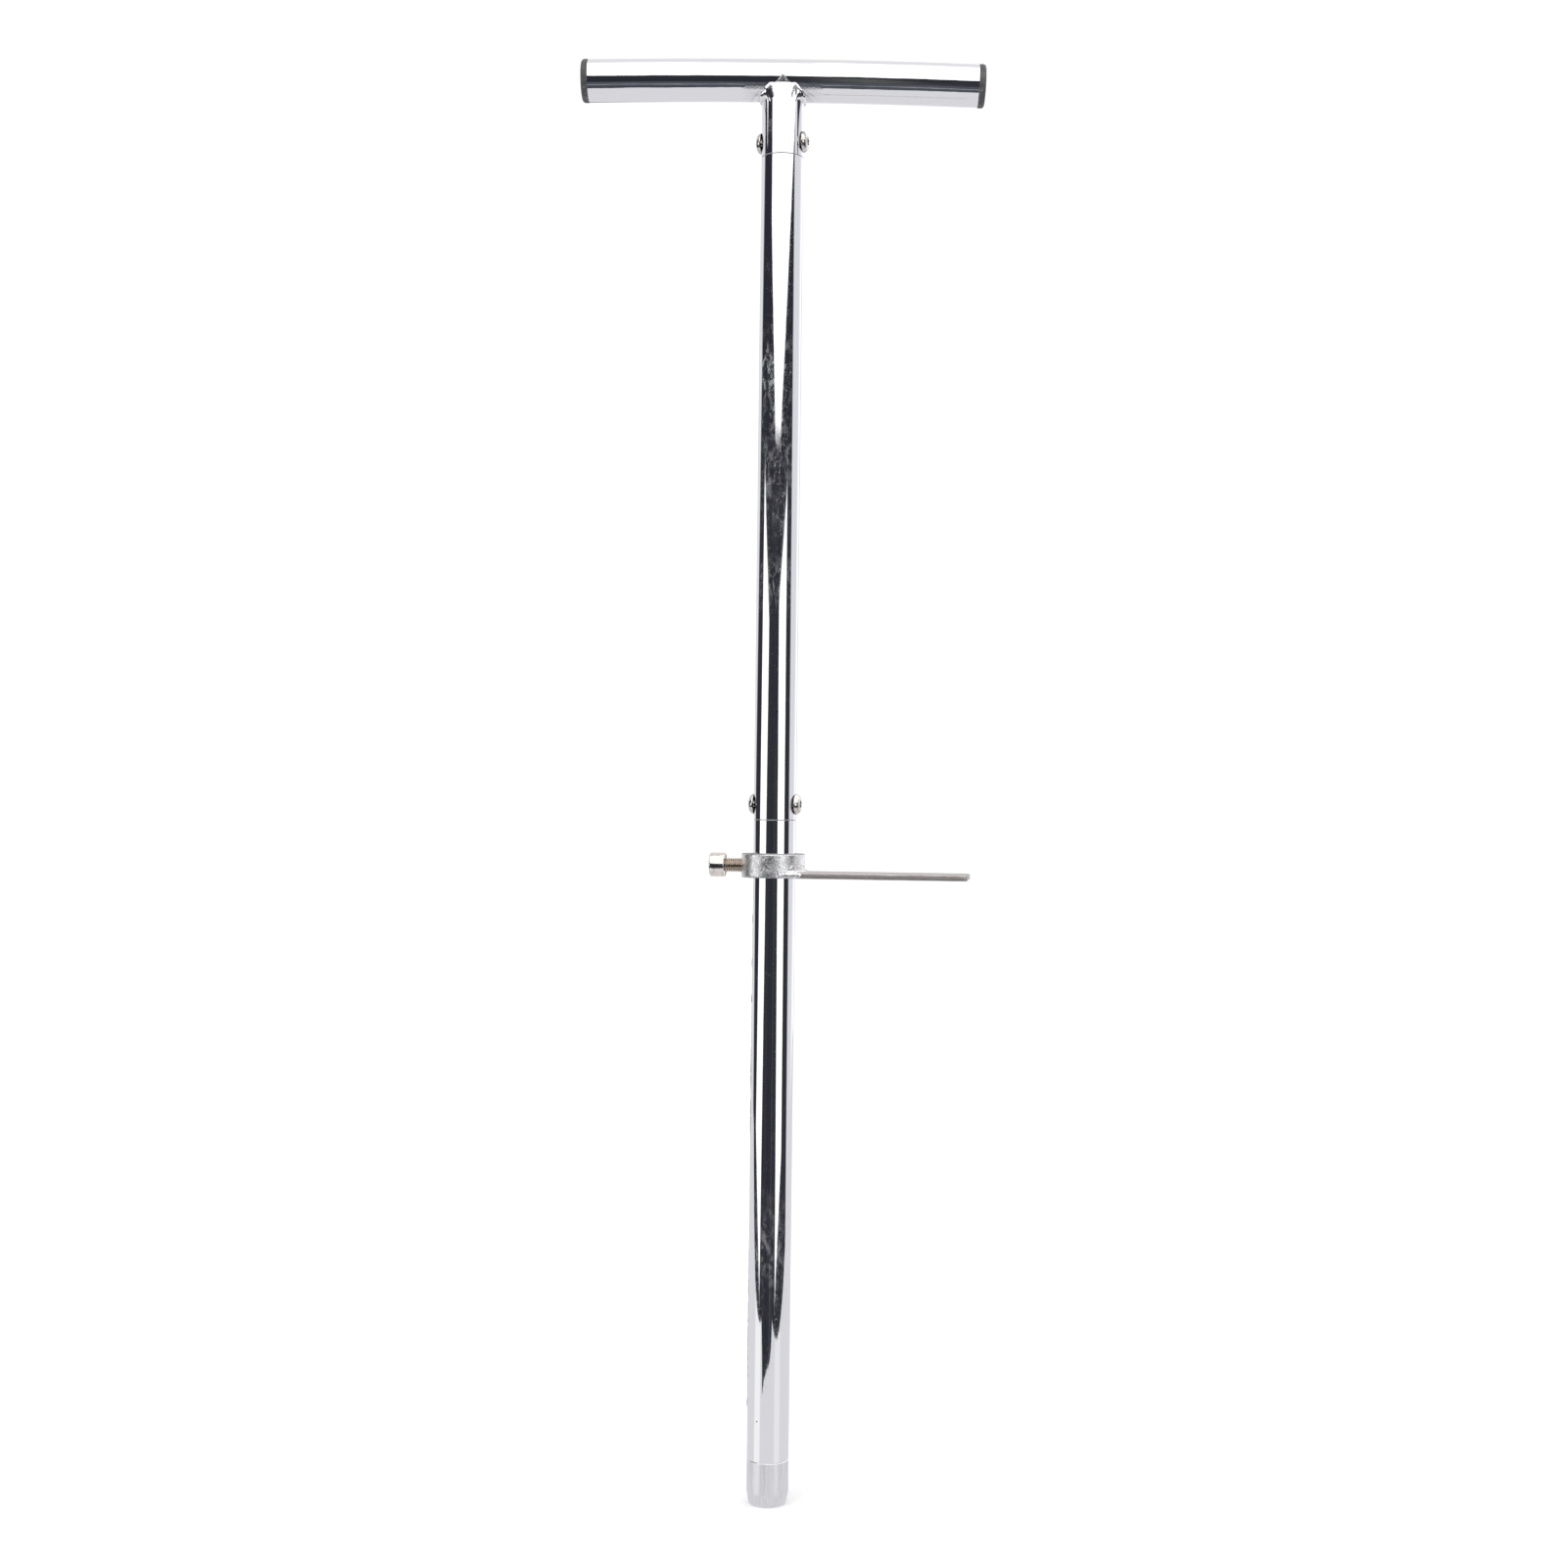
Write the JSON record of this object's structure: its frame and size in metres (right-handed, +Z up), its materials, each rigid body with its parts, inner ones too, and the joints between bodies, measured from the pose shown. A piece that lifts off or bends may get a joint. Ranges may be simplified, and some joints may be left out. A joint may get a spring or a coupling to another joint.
{
  "type": "soil sampler probe",
  "caption": "T-handled tubular soil sampler in screwed sections, with a bevelled cutting ring, a sampling window and a clamp-on foot step.",
  "frame": {"origin": "on the tube's axis, at the plane of the cutting mouth", "axes": "+Z up the tube to the handle; +X along the handle bar to the foot step's side; the sampling window faces +Y and -X"},
  "size_m": [0.2709, 0.0552, 0.9642],
  "materials": {
    "chrome_tube": "mirror chrome plate with fine wipe marks",
    "cap_plastic": "moulded satin black plastic",
    "weld_metal": "rippled weld bead under plating",
    "sleeve_steel": "drawn steel tube, unplated",
    "button_screw_steel": "bright zinc plated, domed head",
    "nut_steel": "plain steel",
    "tip_steel": "turned steel with fine lathe lines",
    "collar_steel": "rough satin with heat and grinding marks",
    "plate_steel": "sheared bare steel bar, brownish edge",
    "clamp_screw_nickel": "warm nickel plate"
  },
  "bodies": {
    "tool": {"handle_bar": "chrome_tube", "handle_cap_left": "cap_plastic", "handle_cap_right": "cap_plastic", "handle_stub": "chrome_tube", "handle_weld": "weld_metal", "upper_sleeve": "sleeve_steel", "handle_screw_left": "button_screw_steel", "handle_screw_right": "button_screw_steel", "handle_nut_left": "nut_steel", "handle_nut_right": "nut_steel", "upper_tube": "chrome_tube", "lower_sleeve": "sleeve_steel", "mid_screw_left": "button_screw_steel", "mid_screw_right": "button_screw_steel", "mid_nut_left": "nut_steel", "mid_nut_right": "nut_steel", "lower_tube": "chrome_tube", "cutting_tip": "tip_steel"},
    "foot_step": {"clamp_collar": "collar_steel", "foot_plate": "plate_steel", "foot_plate_weld": "weld_metal"},
    "clamp_screw": {"clamp_screw": "clamp_screw_nickel"}
  },
  "joints": [
    {"name": "step_height", "type": "slide", "parent": "tool", "child": "foot_step", "axis": [0, 0, 1], "range_m": [-0.384, 0.022]},
    {"name": "clamp_screw_travel", "type": "slide", "parent": "foot_step", "child": "clamp_screw", "axis": [-0.994, 0.1097, 0], "range_m": [0, 0.006]}
  ]
}
